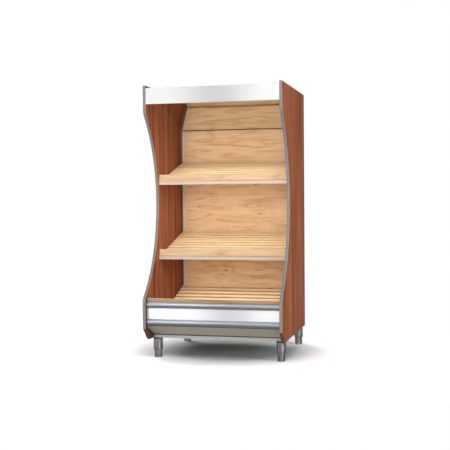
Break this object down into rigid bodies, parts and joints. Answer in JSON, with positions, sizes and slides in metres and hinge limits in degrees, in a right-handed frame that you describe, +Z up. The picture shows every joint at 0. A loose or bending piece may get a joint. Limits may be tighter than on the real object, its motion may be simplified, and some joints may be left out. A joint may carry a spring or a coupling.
{
  "type": "produce display rack",
  "caption": "Free-standing produce rack with curved wooden sides, sloping slatted shelves hung on hooks, a slatted base bin, an inclined mirror, a fascia light and screw-adjustable legs.",
  "frame": {"origin": "on the floor, under the middle of the rack's overall box", "axes": "+X to the right seen from the front, -Y towards the customer, +Z up"},
  "size_m": [1, 1, 1.95],
  "materials": {
    "cherry_laminate": "satin cherry laminate with fine upright grain",
    "light_maple": "clear-lacquered light maple with grain along the width",
    "grey_moulding": "satin grey aluminium moulding",
    "bronze_trim": "dark bronze rail",
    "white_sheet": "semi-gloss white painted sheet",
    "white_board": "white faced board",
    "pan_board": "dark faced board",
    "bumper_metal": "blue-grey anodised aluminium profile",
    "greige_sheet": "warm grey painted sheet",
    "rail_paint": "light grey painted box tube",
    "cream_paint": "cream powder coat",
    "cream_plastic": "cream extruded plastic",
    "mirror_glass": "silvered glass",
    "mirror_backing": "raw brown board",
    "lamp_body": "white lamp housing",
    "lamp_glass": "white coated lamp tube",
    "rear_paint": "light grey painted sheet",
    "leg_steel": "polished steel",
    "black_plastic": "black moulded plastic"
  },
  "bodies": {
    "cabinet": {"side_panel_left": "cherry_laminate", "side_panel_right": "cherry_laminate", "edge_profile_left": "grey_moulding", "edge_profile_right": "grey_moulding", "mirror_rail": "bronze_trim", "upright_left": "cream_paint", "upright_right": "cream_paint", "frame_rail_front": "rail_paint", "frame_rail_rear": "rail_paint", "frame_rail_left": "rail_paint", "frame_rail_right": "rail_paint", "base_pan": "pan_board", "back_panel": "light_maple", "mirror_cleat": "light_maple", "base_cleat_left": "light_maple", "base_cleat_right": "light_maple", "base_lip_board": "light_maple", "rear_cover": "rear_paint", "cable_gland": "black_plastic", "roof_panel": "white_board", "fascia_panel": "white_sheet", "base_front_panel": "white_sheet", "mirror_panel": "mirror_glass", "mirror_backing": "mirror_backing", "lamp_batten": "lamp_body", "lamp_socket_left": "lamp_body", "lamp_socket_right": "lamp_body", "lamp_tube": "lamp_glass", "bumper_upper": "bumper_metal", "bumper_lower": "bumper_metal", "toe_panel": "greige_sheet", "leg_flange_front_left": "black_plastic", "leg_tube_front_left": "leg_steel", "leg_flange_front_right": "black_plastic", "leg_tube_front_right": "leg_steel", "leg_flange_rear_left": "black_plastic", "leg_tube_rear_left": "leg_steel", "leg_flange_rear_right": "black_plastic", "leg_tube_rear_right": "leg_steel"},
    "upper_shelf": {"upper_lip_board": "light_maple", "upper_price_rail": "cream_plastic", "upper_bracket_left": "cream_paint", "upper_bracket_right": "cream_paint", "upper_tie": "cream_paint"},
    "upper_deck": {"upper_grille": "light_maple"},
    "lower_shelf": {"lower_lip_board": "light_maple", "lower_price_rail": "cream_plastic", "lower_bracket_left": "cream_paint", "lower_bracket_right": "cream_paint", "lower_tie": "cream_paint"},
    "lower_deck": {"lower_grille": "light_maple"},
    "base_deck": {"base_grille": "light_maple"},
    "foot_front_left": {"leg_foot_front_left": "leg_steel"},
    "foot_front_right": {"leg_foot_front_right": "leg_steel"},
    "foot_rear_left": {"leg_foot_rear_left": "leg_steel"},
    "foot_rear_right": {"leg_foot_rear_right": "leg_steel"}
  },
  "joints": [
    {"name": "upper_shelf_tilt", "type": "hinge", "parent": "cabinet", "child": "upper_shelf", "pos_m": [0, 0.451, 1.42866], "axis": [-1, 0, 0], "range_deg": [0, 10]},
    {"name": "upper_deck_lift", "type": "slide", "parent": "upper_shelf", "child": "upper_deck", "axis": [0, -0.0872, 0.9962], "range_m": [0, 0.085]},
    {"name": "lower_shelf_tilt", "type": "hinge", "parent": "cabinet", "child": "lower_shelf", "pos_m": [0, 0.451, 0.88204], "axis": [-1, 0, 0], "range_deg": [0, 10]},
    {"name": "lower_deck_lift", "type": "slide", "parent": "lower_shelf", "child": "lower_deck", "axis": [0, -0.0872, 0.9962], "range_m": [0, 0.085]},
    {"name": "base_deck_lift", "type": "slide", "parent": "cabinet", "child": "base_deck", "axis": [0, 0, 1], "range_m": [0, 0.12]},
    {"name": "foot_front_left_screw", "type": "slide", "parent": "cabinet", "child": "foot_front_left", "axis": [0, 0, -1], "range_m": [0, 0.03]},
    {"name": "foot_front_right_screw", "type": "slide", "parent": "cabinet", "child": "foot_front_right", "axis": [0, 0, -1], "range_m": [0, 0.03]},
    {"name": "foot_rear_left_screw", "type": "slide", "parent": "cabinet", "child": "foot_rear_left", "axis": [0, 0, -1], "range_m": [0, 0.03]},
    {"name": "foot_rear_right_screw", "type": "slide", "parent": "cabinet", "child": "foot_rear_right", "axis": [0, 0, -1], "range_m": [0, 0.03]}
  ]
}
